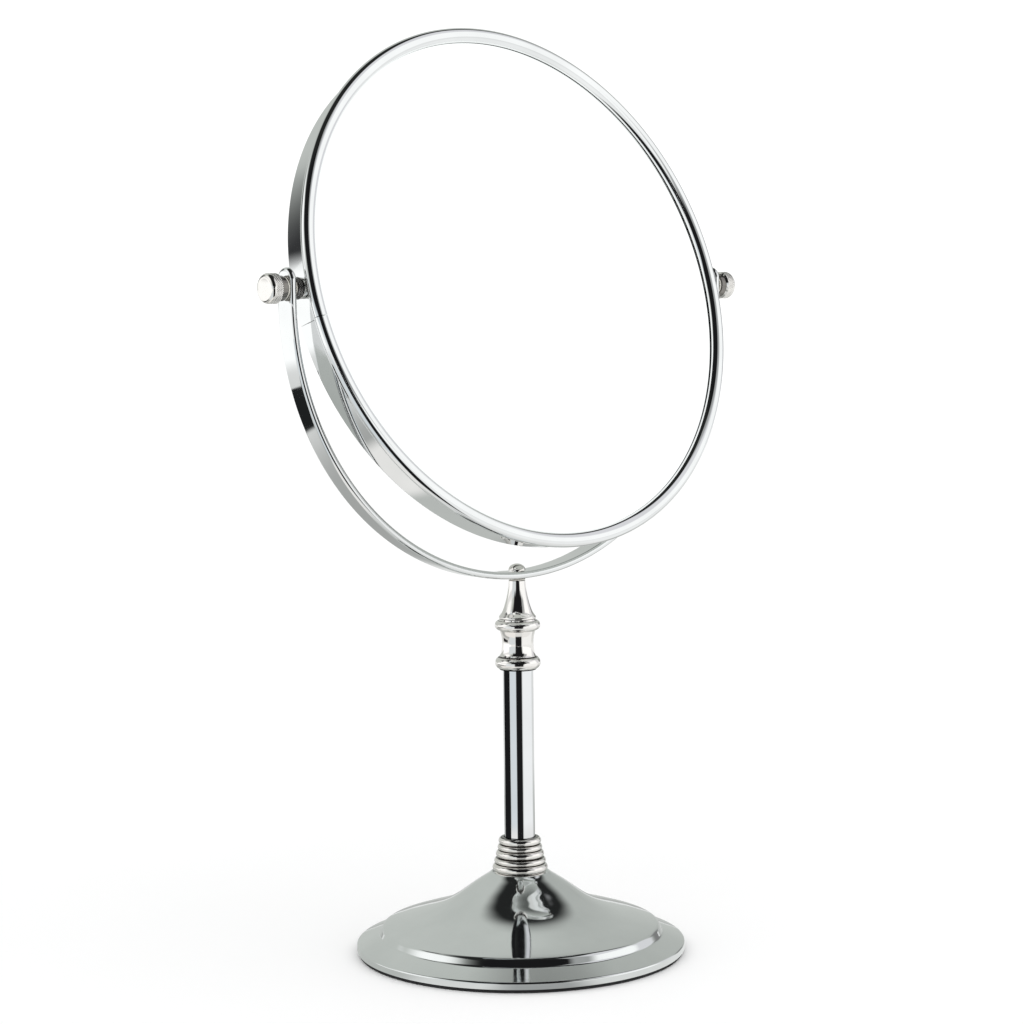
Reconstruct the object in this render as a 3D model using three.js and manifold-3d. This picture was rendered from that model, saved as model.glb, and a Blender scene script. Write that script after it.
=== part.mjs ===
// Two-sided pedestal shaving mirror: a round head that tips between the arms of a half-ring yoke,
// on a turned stem with a domed, weighted base. Millimetres, +Z up. The origin is the centre of the
// underside of the foot pad, X runs along the pivots and the plane glass faces -Y.
import * as THREE from 'three';
import { mergeVertices } from 'three/addons/utils/BufferGeometryUtils.js';
import Module from 'manifold-3d';

const wasm = await Module();
wasm.setup();

// Overall sizes
const BASE_RADIUS = 65;
const BASE_HEIGHT = 31;
const COLUMN_LENGTH = 66.8; // the tube between collar and finial
const HEAD_RADIUS = 104.3; // outermost edge of the front bead
const HEAD_TILT = THREE.MathUtils.degToRad(16.4); // the top leans back
const HEAD_DROP = 1; // the head's centre hangs this far below the pivots
const GAP = 0.3; // between neighbouring pieces

// Base
const PAD_THICKNESS = 1;
const PAD_INSET = 0.8;
const PLATE_THICKNESS = 0.8;
const SHELL_WALL = 1.5;
const RIM_HEIGHT = 4.1;
const RIM_WIDTH = 8.8;
const RIM_RISE = 3.4; // the rim climbs this much towards the step
const STEP_HEIGHT = 2.6;
const NECK_RADIUS = 11;
const WEIGHT_INSET = 13; // from the base's edge
const WEIGHT_HEIGHT = 7.5;
const WEIGHT_BOSS_RADIUS = 20;
const WEIGHT_BOSS_HEIGHT = 14;

// Tie rod and its fasteners
const ROD_RADIUS = 3;
const ROD_GRIP = 10; // how far the rod reaches into the finial
const ROD_NUT_FLATS = 10;
const ROD_NUT_HEIGHT = 4;
const FLAT_WASHER_RADIUS = 8;
const FLAT_WASHER_THICKNESS = 1.2;
const SPRING_WASHER_RADIUS = 5.6;
const SPRING_WASHER_THICKNESS = 1.4;

// Stem
const TUBE_RADIUS = 6.03;
const TUBE_WALL = 1;
const TUBE_SEAT = 5; // how far the tube sits in the collar and in the finial
const COLLAR_HEIGHT = 14.3;
const COLLAR_BEADS = [[4.9, 3.2], [4.2, 2.2], [3.5, 3], [2.8, 2.2], [2.4, 2.9]]; // beyond the tube, tall
const FINIAL_HEIGHT = 35.1;
const FINIAL_BEAD_STAND = 3; // beyond the tube
const FINIAL_WAIST_STAND = 0.2;
const FINIAL_TOP_RADIUS = 3.3;

// Yoke
const STRAP_THICKNESS = 2.8;
const STRAP_WIDTH = 9.3;
const YOKE_SIDE_GAP = 2.8; // between the bead and the yoke's arms
const YOKE_DROP = 4; // the half ring's centre is this far below the pivots
const EAR_RISE = 7.6; // the arms end this far above the pivots
const YOKE_SCREW_RADIUS = 2;
const YOKE_SCREW_HEAD_RADIUS = 3.4;
const YOKE_SCREW_HEAD_HEIGHT = 2.6;
const YOKE_SCREW_GRIP = 8;
const SWIVEL_WASHER_THICKNESS = 0.4;

// Head
const BEAD_RADIUS = 2.3;
const BEAD_OVERHANG = 2.9; // the bead stands this far out of the band
const BAND_THICKNESS = 1;
const BAND_DEPTH = 11.3; // rear edge to bead
const BAND_REAR = 6.9; // rear edge behind the pivot plane
const LIP_REACH = 2.9; // from the band's outside in to the edges of the lips that hold the glasses
const FRONT_GLASS_THICKNESS = 3;
const REAR_GLASS_THICKNESS = 2;
const REAR_GLASS_SAG = 5;
const SPACER_WIDTH = 5;
const BACKING_THICKNESS = 1;
const SEAM_DROP = 11.7; // the band's butt joint lies this far below the left pivot
const SEAM_WIDTH = 0.25;
const SPLICE_THICKNESS = 1.2;
const SPLICE_WIDTH = 5.6;

// Pivots
const STUD_RADIUS = 2;
const STUD_HEAD_OVERHANG = 0.6;
const STUD_HEAD_THICKNESS = 1.5;
const BUSH_LENGTH = 1.7;
const BUSH_WALL = 1.6;
const LOCK_NUT_WALL = 1.8;
const PIVOT_WASHER_THICKNESS = 0.5;
const INNER_WASHER_WALL = 1.3;
const OUTER_WASHER_WALL = 2;
const BORE_CLEARANCE = 0.3;
const EAR_CLEARANCE = 0.4;
const KNOB_NECK_WALL = 2.3;
const KNOB_GRIP_STAND = 0.95; // beyond the neck
const KNOB_NECK_LENGTH = 3.3;
const KNOB_GRIP_LENGTH = 4;
const KNOB_CROWN = 0.5;
const KNOB_BORE_DEPTH = 5.5;

// Heights up the stem, each standing on the one before
const PLATE_BOTTOM = PAD_THICKNESS + GAP;
const CAVITY_BOTTOM = PLATE_BOTTOM + PLATE_THICKNESS + GAP;
const COLLAR_BOTTOM = BASE_HEIGHT + GAP;
const COLLAR_TOP = COLLAR_BOTTOM + COLLAR_HEIGHT;
const FINIAL_BOTTOM = COLLAR_TOP + COLUMN_LENGTH;
const FINIAL_TOP = FINIAL_BOTTOM + FINIAL_HEIGHT;
const YOKE_BOTTOM = FINIAL_TOP + SWIVEL_WASHER_THICKNESS + 2 * GAP;

// Radii and heights of yoke and head
const BAND_RADIUS = HEAD_RADIUS - BEAD_OVERHANG;
const YOKE_INNER = HEAD_RADIUS + YOKE_SIDE_GAP;
const YOKE_OUTER = YOKE_INNER + STRAP_THICKNESS;
const YOKE_CENTRE = YOKE_BOTTOM + YOKE_OUTER;
const PIVOT_HEIGHT = YOKE_CENTRE + YOKE_DROP;
const CHANNEL_RADIUS = BAND_RADIUS - BAND_THICKNESS;
const BEAD_CENTRE = HEAD_RADIUS - BEAD_RADIUS;
const BEAD_MEET = Math.acos((BAND_RADIUS - BEAD_CENTRE) / BEAD_RADIUS); // where it leaves the band
const BEAD_PLANE = BAND_DEPTH - BAND_REAR + BEAD_RADIUS * Math.sin(BEAD_MEET);
const LIP_RADIUS = BAND_RADIUS - LIP_REACH;
const GLASS_RADIUS = CHANNEL_RADIUS - GAP;
const FRONT_GLASS_FACE = BEAD_PLANE - GAP;
const FRONT_GLASS_BACK = FRONT_GLASS_FACE - FRONT_GLASS_THICKNESS;
const REAR_LIP_FACE = BAND_THICKNESS - BAND_REAR;
const REAR_GLASS_EDGE = REAR_LIP_FACE + GAP;
const SPLICE_OUTER = CHANNEL_RADIUS - GAP;
const SPLICE_INNER = SPLICE_OUTER - SPLICE_THICKNESS;
const SPACER_OUTER = SPLICE_INNER - GAP;
const SPACER_INNER = SPACER_OUTER - SPACER_WIDTH;
const STUD_HEAD_FACE = SPLICE_INNER - GAP;
const BUSH_START = BAND_RADIUS + GAP;
const LOCK_NUT_START = BUSH_START + BUSH_LENGTH + GAP;
const INNER_WASHER_START = YOKE_INNER - GAP - PIVOT_WASHER_THICKNESS;
const LOCK_NUT_LENGTH = INNER_WASHER_START - GAP - LOCK_NUT_START;
const OUTER_WASHER_START = YOKE_OUTER + GAP;
const KNOB_START = OUTER_WASHER_START + PIVOT_WASHER_THICKNESS + GAP;
const STUD_END = KNOB_START + KNOB_BORE_DEPTH - GAP;

// Materials, one new one for each piece
const metal = (color, roughness) => () =>
  new THREE.MeshStandardMaterial({ color, roughness, metalness: 1 });
const dull = (color, roughness) => () =>
  new THREE.MeshStandardMaterial({ color, roughness, metalness: 0 });
const polishedChrome = metal(0xe4e6e6, 0.06);
const castChrome = metal(0xe2ddd6, 0.1);
const darkNickel = metal(0x8a8884, 0.25);
const mirrorGlass = metal(0xf4f6f7, 0.02);
const zincSteel = metal(0xb4b6b4, 0.35);
const castIron = metal(0x3c3c3e, 0.7);
const nylon = dull(0xe8e6df, 0.5);
const blackPlastic = dull(0x202124, 0.55);
const foam = dull(0x1c1c1e, 0.95);

// A solid of revolution about +Y from an outline of [radius, height] points, closed by itself
// where it doesn't start and end on the axis.
function latheY(outline, segments) {
  const points = outline.map(([r, h]) => new THREE.Vector2(r, h));
  if (outline[0][0] > 0) points.push(points[0].clone());
  if (THREE.ShapeUtils.area(points) < 0) points.reverse();
  return new THREE.LatheGeometry(points, segments);
}

const turned = (outline, segments) => latheY(outline, segments).rotateX(Math.PI / 2);
const facingFront = (outline, segments) => latheY(outline, segments).rotateX(Math.PI);
const sideways = (outline, segments, side) =>
  latheY(outline, segments).rotateZ((-side * Math.PI) / 2);

// The outline of a plain ring, washer, bush or tube.
const ring = (inner, outer, low, high) => [[inner, low], [outer, low], [outer, high], [inner, high]];
// The outline of a plain solid disc or rod.
const disc = (radius, low, high) => [[0, low], [radius, low], [radius, high], [0, high]];

// Points round an ellipse's arc, in degrees counted from the outline's radius axis.
function arc(centreR, centreH, acrossR, acrossH, fromDeg, toDeg, steps) {
  const points = [];
  for (let i = 0; i <= steps; i += 1) {
    const angle = THREE.MathUtils.degToRad(fromDeg + ((toDeg - fromDeg) * i) / steps);
    points.push([centreR + acrossR * Math.cos(angle), centreH + acrossH * Math.sin(angle)]);
  }
  return points;
}

// Points along a smooth line through the given ones.
function smooth(points, steps) {
  const curve = new THREE.SplineCurve(points.map(([r, h]) => new THREE.Vector2(r, h)));
  return curve.getPoints(steps).map((point) => [point.x, point.y]);
}

// Joins and cuts
function solidOf(geometry) {
  const bare = geometry.clone();
  bare.deleteAttribute('normal');
  bare.deleteAttribute('uv');
  const merged = mergeVertices(bare, 1e-3);
  return new wasm.Manifold(new wasm.Mesh({
    numProp: 3,
    vertProperties: merged.attributes.position.array,
    triVerts: new Uint32Array(merged.index.array),
  }));
}

function geometryOf(solid) {
  const mesh = solid.getMesh();
  const geometry = new THREE.BufferGeometry();
  geometry.setAttribute('position', new THREE.BufferAttribute(mesh.vertProperties, 3));
  geometry.setIndex(new THREE.BufferAttribute(mesh.triVerts, 1));
  geometry.computeVertexNormals();
  return geometry;
}

function cut(geometry, ...tools) {
  const left = tools.reduce((solid, tool) => solid.subtract(solidOf(tool)), solidOf(geometry));
  return geometryOf(left);
}

// Base: pad, plate, weight and the spun shell
const rodBore = ROD_RADIUS + BORE_CLEARANCE;
const footPad = () => turned(disc(BASE_RADIUS - PAD_INSET, 0, PAD_THICKNESS), 44);
const shellInside = BASE_RADIUS - SHELL_WALL;
const bottomPlate = () =>
  turned(disc(shellInside - GAP, PLATE_BOTTOM, PLATE_BOTTOM + PLATE_THICKNESS), 44);

// The shell's visible line: rim, step, crowned plateau, then a concave sweep up to the neck.
function shellLine() {
  const stepRadius = BASE_RADIUS - RIM_WIDTH;
  const stepFoot = RIM_HEIGHT + RIM_RISE;
  const plateau = stepRadius - 1.8;
  const sweep = plateau - NECK_RADIUS;
  const climb = BASE_HEIGHT - (stepFoot + STEP_HEIGHT);
  const flank = [[1, 0], [0.87, 0.13], [0.6, 0.29], [0.35, 0.5], [0.16, 0.75], [0, 0.97]];
  return [
    [BASE_RADIUS, RIM_HEIGHT],
    [stepRadius, stepFoot],
    [stepRadius - 0.8, stepFoot + STEP_HEIGHT * 0.6],
    ...smooth(flank.map(([out, up]) =>
      [NECK_RADIUS + sweep * out, stepFoot + STEP_HEIGHT + climb * up]), 7),
  ];
}

function baseShell() {
  const line = shellLine();
  const under = line.slice(1).map(([r, h]) => [r, h - SHELL_WALL]);
  const land = NECK_RADIUS - 1;
  return turned([
    [shellInside, PLATE_BOTTOM],
    [BASE_RADIUS, PLATE_BOTTOM],
    ...line,
    [land, BASE_HEIGHT],
    [rodBore, BASE_HEIGHT],
    [rodBore, BASE_HEIGHT - SHELL_WALL],
    [land - 0.5, BASE_HEIGHT - SHELL_WALL - 0.3],
    ...under.reverse(),
    [shellInside, RIM_HEIGHT - SHELL_WALL * 0.5],
  ], 44);
}

const nutPocket = FLAT_WASHER_RADIUS + 1;
const pocketTop = CAVITY_BOTTOM + ROD_NUT_HEIGHT + SPRING_WASHER_THICKNESS
  + FLAT_WASHER_THICKNESS + 3 * GAP;
const weightRadius = BASE_RADIUS - WEIGHT_INSET;
const baseWeight = () => turned([
  [nutPocket, CAVITY_BOTTOM],
  [weightRadius, CAVITY_BOTTOM],
  [weightRadius, WEIGHT_HEIGHT - 1],
  [weightRadius - 3, WEIGHT_HEIGHT],
  [WEIGHT_BOSS_RADIUS + 6, WEIGHT_HEIGHT],
  [WEIGHT_BOSS_RADIUS, WEIGHT_BOSS_HEIGHT],
  [rodBore, WEIGHT_BOSS_HEIGHT],
  [rodBore, pocketTop],
  [nutPocket, pocketTop],
], 30);

// Tie rod with its nut and washers, up in the weight's pocket
const tieRod = () => turned(disc(ROD_RADIUS, CAVITY_BOTTOM, FINIAL_BOTTOM + ROD_GRIP), 14);
const springWasherBottom = CAVITY_BOTTOM + ROD_NUT_HEIGHT + GAP;
const flatWasherBottom = springWasherBottom + SPRING_WASHER_THICKNESS + GAP;
function tieRodNut() {
  const acrossCorners = ROD_NUT_FLATS / Math.sqrt(3);
  const corners = [0, 1, 2, 3, 4, 5].map((corner) =>
    new THREE.Vector2(acrossCorners, 0).rotateAround(new THREE.Vector2(), (corner * Math.PI) / 3));
  const hexagon = new THREE.Shape(corners);
  const hole = new THREE.Path();
  hole.absarc(0, 0, rodBore, 0, 2 * Math.PI, true);
  hexagon.holes.push(hole);
  const nut = new THREE.ExtrudeGeometry(hexagon, {
    depth: ROD_NUT_HEIGHT, bevelEnabled: false, curveSegments: 9,
  });
  return nut.translate(0, 0, CAVITY_BOTTOM);
}

const springWasher = () => turned(
  ring(rodBore, SPRING_WASHER_RADIUS, springWasherBottom, flatWasherBottom - GAP), 24);
const flatWasher = () => turned(
  ring(rodBore, FLAT_WASHER_RADIUS, flatWasherBottom, flatWasherBottom + FLAT_WASHER_THICKNESS), 24);

// Stem: beaded collar, plain tube and turned finial
const tubeSocket = TUBE_RADIUS + BORE_CLEARANCE;

function collar() {
  const total = COLLAR_BEADS.reduce((sum, [, height]) => sum + height, 0);
  const foot = 0.5;
  const scale = (COLLAR_HEIGHT - foot) / total;
  let height = COLLAR_BOTTOM + foot;
  const outside = [[TUBE_RADIUS + COLLAR_BEADS[0][0] - 0.8, COLLAR_BOTTOM]];
  for (const [stand, tall] of COLLAR_BEADS) {
    const half = (tall * scale) / 2;
    outside.push(...arc(TUBE_RADIUS + stand - half, height + half, half, half, -60, 60, 2));
    height += 2 * half;
  }
  return turned([
    [rodBore, COLLAR_BOTTOM],
    ...outside,
    [tubeSocket, COLLAR_TOP],
    [tubeSocket, COLLAR_TOP - TUBE_SEAT],
    [rodBore, COLLAR_TOP - TUBE_SEAT],
  ], 22);
}

const columnTube = () => turned(ring(
  TUBE_RADIUS - TUBE_WALL, TUBE_RADIUS,
  COLLAR_TOP - TUBE_SEAT + GAP, FINIAL_BOTTOM + TUBE_SEAT - GAP), 22);

const finialRodTop = FINIAL_BOTTOM + ROD_GRIP + GAP;
const screwHole = YOKE_SCREW_RADIUS + BORE_CLEARANCE;

// The finial's line, from its lower bead over the waist and the upper bead to the slim cone.
function finialLine() {
  const at = (fraction) => FINIAL_BOTTOM + FINIAL_HEIGHT * fraction;
  const bead = TUBE_RADIUS + FINIAL_BEAD_STAND;
  const waist = TUBE_RADIUS + FINIAL_WAIST_STAND;
  return [
    [bead - 1.8, at(0)],
    ...arc(bead - 2.1, at(0.078), 2.1, 2.4, -75, 70, 4),
    [waist + 0.8, at(0.165)],
    [waist, at(0.31)],
    [waist + 0.9, at(0.42)],
    ...arc(bead - 2, at(0.5), 2, 1.9, -70, 70, 4),
    [bead - 1.9, at(0.575)],
    ...smooth([
      [bead - 1.7, at(0.595)], [bead - 3.1, at(0.655)],
      [FINIAL_TOP_RADIUS + 1.3, at(0.77)], [FINIAL_TOP_RADIUS, at(1)]], 5),
  ];
}

const finial = () => turned([
  [tubeSocket, FINIAL_BOTTOM],
  ...finialLine(),
  [screwHole, FINIAL_TOP],
  [screwHole, FINIAL_TOP - YOKE_SCREW_GRIP],
  [0, FINIAL_TOP - YOKE_SCREW_GRIP],
  [0, finialRodTop],
  [rodBore, finialRodTop],
  [rodBore, FINIAL_BOTTOM + TUBE_SEAT],
  [tubeSocket, FINIAL_BOTTOM + TUBE_SEAT],
], 22);

// Yoke: the strap is bent to a half ring and runs straight up past the pivots, where its ends are
// rounded over.
function yokeStrap() {
  const outline = new THREE.Shape();
  const rise = YOKE_DROP + EAR_RISE;
  outline.moveTo(-YOKE_OUTER, rise);
  outline.lineTo(-YOKE_OUTER, 0);
  outline.absarc(0, 0, YOKE_OUTER, Math.PI, 2 * Math.PI, false);
  outline.lineTo(YOKE_OUTER, rise);
  outline.lineTo(YOKE_INNER, rise);
  outline.lineTo(YOKE_INNER, 0);
  outline.absarc(0, 0, YOKE_INNER, 2 * Math.PI, Math.PI, true);
  outline.lineTo(-YOKE_INNER, rise);
  const flat = new THREE.ExtrudeGeometry(outline, {
    depth: STRAP_WIDTH, bevelEnabled: false, curveSegments: 32,
  });
  flat.translate(0, 0, -STRAP_WIDTH / 2).rotateX(Math.PI / 2).translate(0, 0, YOKE_CENTRE);

  const half = STRAP_WIDTH / 2;
  const profile = new THREE.Shape();
  profile.moveTo(-half, 0);
  profile.lineTo(half, 0);
  profile.lineTo(half, PIVOT_HEIGHT + EAR_RISE - half);
  profile.absarc(0, PIVOT_HEIGHT + EAR_RISE - half, half, 0, Math.PI, false);
  const rounding = new THREE.ExtrudeGeometry(profile, {
    depth: 2 * YOKE_OUTER + 2, bevelEnabled: false, curveSegments: 6,
  });
  rounding.translate(0, 0, -YOKE_OUTER - 1).rotateY(Math.PI / 2).rotateX(Math.PI / 2);

  const pivotHole = sideways(disc(STUD_RADIUS + EAR_CLEARANCE, -YOKE_OUTER - 1, YOKE_OUTER + 1), 16, 1);
  pivotHole.translate(0, 0, PIVOT_HEIGHT);
  const screwBore = turned(disc(screwHole, YOKE_BOTTOM - 1, YOKE_BOTTOM + STRAP_THICKNESS + 1), 16);
  const rounded = solidOf(flat).intersect(solidOf(rounding));
  return geometryOf(rounded.subtract(solidOf(pivotHole)).subtract(solidOf(screwBore)));
}

const swivelWasher = () => turned(
  ring(screwHole, FINIAL_TOP_RADIUS, FINIAL_TOP + GAP, YOKE_BOTTOM - GAP), 18);

function yokeScrew() {
  const seat = YOKE_BOTTOM + STRAP_THICKNESS + GAP;
  const tip = FINIAL_TOP - YOKE_SCREW_GRIP + GAP;
  const head = arc(0, seat, YOKE_SCREW_HEAD_RADIUS, YOKE_SCREW_HEAD_HEIGHT, 0, 90, 5);
  return turned([
    [0, tip],
    [YOKE_SCREW_RADIUS, tip],
    [YOKE_SCREW_RADIUS, seat],
    ...head.slice(0, -1),
    [0, seat + YOKE_SCREW_HEAD_HEIGHT],
  ], 18);
}

// Head: everything is placed about the pivot's centre and faces -Y before the head is tipped.
const boreThrough = (radius, side, from, to) => sideways(disc(radius, from, to), 16, side);
const studBore = STUD_RADIUS + BORE_CLEARANCE;
const studHead = STUD_RADIUS + STUD_HEAD_OVERHANG;

// The rolled rim: a flat band with a round bead in front, and a lip at each side to hold a glass.
function rimStrip() {
  const meet = THREE.MathUtils.radToDeg(BEAD_MEET);
  const lip = LIP_RADIUS;
  const outline = [
    [BAND_RADIUS, 0.6 - BAND_REAR],
    ...arc(BEAD_CENTRE, BEAD_PLANE, BEAD_RADIUS, BEAD_RADIUS, -meet, 90, 5),
    [lip, BEAD_PLANE + 1],
    [lip, BEAD_PLANE],
    [CHANNEL_RADIUS, BEAD_PLANE],
    [CHANNEL_RADIUS, REAR_LIP_FACE],
    [lip, REAR_LIP_FACE],
    [lip, -BAND_REAR],
    [BAND_RADIUS - 0.6, -BAND_REAR],
  ];
  const hoop = facingFront(outline, 52).translate(0, 0, -HEAD_DROP);
  const seam = new THREE.BoxGeometry(4 * LIP_REACH, 3 * BAND_DEPTH, SEAM_WIDTH);
  const angle = Math.asin(SEAM_DROP / BAND_RADIUS);
  seam.translate(-BAND_RADIUS, 0, 0).rotateY(-angle).translate(0, 0, -HEAD_DROP);
  return cut(hoop, seam, boreThrough(studBore, 1, -HEAD_RADIUS, HEAD_RADIUS));
}

const frontGlass = () => facingFront(
  disc(GLASS_RADIUS, FRONT_GLASS_BACK, FRONT_GLASS_FACE), 52).translate(0, 0, -HEAD_DROP);

// The magnifying glass is dished, hollow towards the back.
function rearGlass() {
  const steps = 4;
  const dish = (offset) => (_, i) => {
    const share = i / steps;
    return [GLASS_RADIUS * share, REAR_GLASS_EDGE + offset + REAR_GLASS_SAG * (1 - share * share)];
  };
  const rear = Array.from({ length: steps + 1 }, dish(0));
  const front = Array.from({ length: steps + 1 }, dish(REAR_GLASS_THICKNESS)).reverse();
  return facingFront([...rear, ...front], 44).translate(0, 0, -HEAD_DROP);
}

const backingPad = () => facingFront(disc(SPACER_INNER - GAP,
  FRONT_GLASS_BACK - GAP - BACKING_THICKNESS, FRONT_GLASS_BACK - GAP), 36)
  .translate(0, 0, -HEAD_DROP);

// The plastic spacer keeps the glasses apart and is notched for the heads of the pivot studs.
function spacerRing() {
  const low = REAR_GLASS_EDGE + REAR_GLASS_THICKNESS + 1.3;
  const body = facingFront(ring(SPACER_INNER, SPACER_OUTER, low, FRONT_GLASS_BACK - GAP), 40)
    .translate(0, 0, -HEAD_DROP);
  const notch = (side) => boreThrough(studHead + GAP, side,
    STUD_HEAD_FACE - STUD_HEAD_THICKNESS - GAP, SPACER_OUTER + 2);
  return cut(body, notch(-1), notch(1));
}

// A plate bent to the band's inside, which the stud's head clamps against it.
function clampPlate(side, spanDeg, shiftDeg) {
  const outline = new THREE.Shape();
  const half = THREE.MathUtils.degToRad(spanDeg) / 2;
  const middle = (side > 0 ? 0 : Math.PI) + THREE.MathUtils.degToRad(shiftDeg);
  outline.absarc(0, 0, SPLICE_OUTER, middle - half, middle + half, false);
  outline.absarc(0, 0, SPLICE_INNER, middle + half, middle - half, true);
  const plate = new THREE.ExtrudeGeometry(outline, {
    depth: SPLICE_WIDTH, bevelEnabled: false, curveSegments: 6,
  });
  plate.translate(0, 0, -SPLICE_WIDTH / 2).rotateX(Math.PI / 2).translate(0, 0, -HEAD_DROP);
  return cut(plate, boreThrough(studBore, side, SPLICE_INNER - 1, SPLICE_OUTER + 1));
}

// Pivot pieces lie along X from the band outwards.
const pivotStud = (side) => sideways([
  [0, STUD_HEAD_FACE - STUD_HEAD_THICKNESS],
  [studHead, STUD_HEAD_FACE - STUD_HEAD_THICKNESS],
  [studHead, STUD_HEAD_FACE],
  [STUD_RADIUS, STUD_HEAD_FACE],
  [STUD_RADIUS, STUD_END],
  [0, STUD_END],
], 16, side);

const onStud = (wall, start, length) => (side) =>
  sideways(ring(studBore, studBore + wall, start, start + length), 16, side);
const pivotBush = onStud(BUSH_WALL, BUSH_START, BUSH_LENGTH);
const lockNut = onStud(LOCK_NUT_WALL, LOCK_NUT_START, LOCK_NUT_LENGTH);
const innerWasher = onStud(INNER_WASHER_WALL, INNER_WASHER_START, PIVOT_WASHER_THICKNESS);
const outerWasher = onStud(OUTER_WASHER_WALL, OUTER_WASHER_START, PIVOT_WASHER_THICKNESS);

function knob(side) {
  const neckRadius = studBore + KNOB_NECK_WALL;
  const gripRadius = neckRadius + KNOB_GRIP_STAND;
  const grip = KNOB_START + KNOB_NECK_LENGTH;
  const end = grip + KNOB_GRIP_LENGTH;
  return sideways([
    [studBore, KNOB_START],
    [neckRadius, KNOB_START],
    [neckRadius, grip - 0.3],
    [gripRadius, grip + 0.4],
    [gripRadius, end - 0.5],
    [gripRadius - 0.6, end],
    [0, end + KNOB_CROWN],
    [0, KNOB_START + KNOB_BORE_DEPTH],
    [studBore, KNOB_START + KNOB_BORE_DEPTH],
  ], 20, side);
}

// The assembly
const mirror = new THREE.Group();

function place(parent, name, geometry, material) {
  const mesh = new THREE.Mesh(geometry, material());
  mesh.name = name;
  parent.add(mesh);
}

place(mirror, 'foot_pad', footPad(), foam);
place(mirror, 'bottom_plate', bottomPlate(), zincSteel);
place(mirror, 'base_weight', baseWeight(), castIron);
place(mirror, 'base_shell', baseShell(), polishedChrome);
place(mirror, 'tie_rod', tieRod(), zincSteel);
place(mirror, 'tie_rod_nut', tieRodNut(), zincSteel);
place(mirror, 'spring_washer', springWasher(), zincSteel);
place(mirror, 'flat_washer', flatWasher(), zincSteel);
place(mirror, 'beaded_collar', collar(), castChrome);
place(mirror, 'column_tube', columnTube(), polishedChrome);
place(mirror, 'finial', finial(), castChrome);
place(mirror, 'swivel_washer', swivelWasher(), nylon);
place(mirror, 'yoke_screw', yokeScrew(), castChrome);
place(mirror, 'yoke_strap', yokeStrap(), polishedChrome);

const head = new THREE.Group();
head.position.z = PIVOT_HEIGHT;
head.rotation.x = -HEAD_TILT;
mirror.add(head);
place(head, 'rim_strip', rimStrip(), polishedChrome);
place(head, 'front_glass', frontGlass(), mirrorGlass);
place(head, 'rear_glass', rearGlass(), mirrorGlass);
place(head, 'backing_pad', backingPad(), foam);
place(head, 'spacer_ring', spacerRing(), blackPlastic);
place(head, 'splice_plate', clampPlate(-1, 16, 3.2), zincSteel);
place(head, 'clamp_plate', clampPlate(1, 10, 0), zincSteel);
for (const [side, word] of [[-1, 'left'], [1, 'right']]) {
  place(head, `pivot_stud_${word}`, pivotStud(side), zincSteel);
  place(head, `pivot_bush_${word}`, pivotBush(side), castChrome);
  place(head, `lock_nut_${word}`, lockNut(side), darkNickel);
  place(head, `inner_washer_${word}`, innerWasher(side), nylon);
  place(head, `outer_washer_${word}`, outerWasher(side), nylon);
  place(head, `knob_${word}`, knob(side), castChrome);
}

export default mirror;
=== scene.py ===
import math
import bpy
import bmesh
from mathutils import Matrix, Vector


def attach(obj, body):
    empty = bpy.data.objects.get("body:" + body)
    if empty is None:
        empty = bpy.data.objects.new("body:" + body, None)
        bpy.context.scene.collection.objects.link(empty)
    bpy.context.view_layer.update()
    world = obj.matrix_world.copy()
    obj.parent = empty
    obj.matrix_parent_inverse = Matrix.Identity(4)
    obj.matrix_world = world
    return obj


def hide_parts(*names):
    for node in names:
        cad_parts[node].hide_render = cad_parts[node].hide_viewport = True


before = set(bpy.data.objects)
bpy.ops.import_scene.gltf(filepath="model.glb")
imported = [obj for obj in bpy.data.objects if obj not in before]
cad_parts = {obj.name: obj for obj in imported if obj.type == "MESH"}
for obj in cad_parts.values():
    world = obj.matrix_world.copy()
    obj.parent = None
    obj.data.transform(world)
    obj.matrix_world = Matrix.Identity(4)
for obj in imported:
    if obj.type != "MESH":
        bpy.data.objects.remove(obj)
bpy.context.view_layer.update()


# Foot pad: a die-cut disc of dense black foam rubber glued under the bottom plate.
# Its edge is soft and a little rounded from the press, and its face is finely pitted.
sharp_edge = math.radians(38)


def placed(name, shape):
    """The shape as an object in the scene."""
    mesh = bpy.data.meshes.new(name)
    shape.to_mesh(mesh)
    shape.free()
    thing = bpy.data.objects.new(name, mesh)
    bpy.context.collection.objects.link(thing)
    return thing


def new_piece(name, shape):
    """A finished piece: smooth over its rounds, crisp at its corners."""
    bmesh.ops.recalc_face_normals(shape, faces=shape.faces)
    for face in shape.faces:
        face.smooth = True
    for edge in shape.edges:
        if len(edge.link_faces) == 2 and edge.calc_face_angle() > sharp_edge:
            edge.smooth = False
    piece = placed(name, shape)
    flats = piece.modifiers.new("true flats", "WEIGHTED_NORMAL")
    flats.keep_sharp = True
    flats.weight = 90
    return piece


def eased(corners, steps=5):
    """The outline, in mm, with every corner that has a third number rounded to that radius."""
    line = []
    for i, corner in enumerate(corners):
        here = Vector(corner[:2])
        if len(corner) == 2:
            line.append(tuple(here))
            continue
        back = (Vector(corners[i - 1][:2]) - here).normalized()
        on = (Vector(corners[(i + 1) % len(corners)][:2]) - here).normalized()
        half = back.angle(on) / 2
        start = here + back * corner[2] / math.tan(half)
        centre = here + (back + on).normalized() * corner[2] / math.sin(half)
        spoke = start - centre
        sweep = math.copysign(math.pi - 2 * half, back.cross(on))
        for step in range(steps + 1):
            turn = -sweep * step / steps
            line.append(tuple(centre + Matrix.Rotation(turn, 2) @ spoke))
    return line


def upright(radius, height, turn):
    """Lays a turned piece round the stem's axis."""
    return (radius * math.cos(turn), radius * math.sin(turn), height)


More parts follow.
